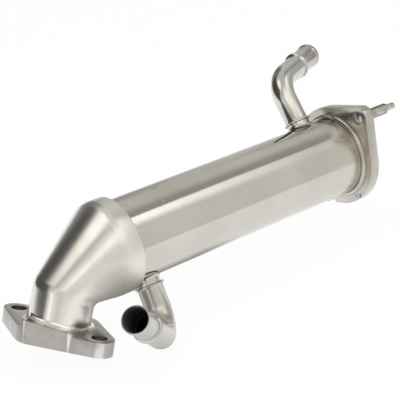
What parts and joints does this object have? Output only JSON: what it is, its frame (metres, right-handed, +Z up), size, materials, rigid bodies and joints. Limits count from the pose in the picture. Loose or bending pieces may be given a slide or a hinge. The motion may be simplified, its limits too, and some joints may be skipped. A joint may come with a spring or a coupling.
{
  "type": "egr cooler",
  "caption": "Round exhaust gas recirculation cooler in stainless steel with an oblique inlet cone, bolted inlet flange, studded outlet flange and bent coolant pipes.",
  "frame": {"origin": "centre of the outlet flange's mating face, on the shell's axis", "axes": "+X along the shell's axis, out of the outlet; +Z up; the inlet neck points down in the plane of X and Z"},
  "size_m": [0.3225, 0.1386, 0.1328],
  "materials": {
    "shell_steel": "satin drawn stainless steel",
    "cone_steel": "satin formed stainless steel",
    "inlet_flange_steel": "satin cast stainless steel",
    "outlet_flange_steel": "brushed stainless steel, faintly tinted by heat",
    "pipe_steel": "bright drawn stainless tube",
    "stud_steel": "plain steel",
    "sheet_steel": "dull stainless sheet",
    "tube_steel": "dull stainless tube"
  },
  "bodies": {
    "root": {"shell": "shell_steel", "inlet_cone": "cone_steel", "inlet_flange": "inlet_flange_steel", "outlet_flange": "outlet_flange_steel", "lower_coolant_pipe": "pipe_steel", "upper_coolant_pipe": "pipe_steel", "front_tube_sheet": "sheet_steel", "rear_tube_sheet": "sheet_steel", "outlet_stud_1": "stud_steel", "outlet_stud_2": "stud_steel", "gas_tube_01": "tube_steel", "gas_tube_02": "tube_steel", "gas_tube_03": "tube_steel", "gas_tube_04": "tube_steel", "gas_tube_05": "tube_steel", "gas_tube_06": "tube_steel", "gas_tube_07": "tube_steel", "gas_tube_08": "tube_steel", "gas_tube_09": "tube_steel", "gas_tube_10": "tube_steel", "gas_tube_11": "tube_steel", "gas_tube_12": "tube_steel", "gas_tube_13": "tube_steel", "gas_tube_14": "tube_steel", "gas_tube_15": "tube_steel", "gas_tube_16": "tube_steel", "gas_tube_17": "tube_steel", "gas_tube_18": "tube_steel", "gas_tube_19": "tube_steel", "baffle_1": "sheet_steel", "baffle_2": "sheet_steel", "baffle_3": "sheet_steel"}
  },
  "joints": []
}
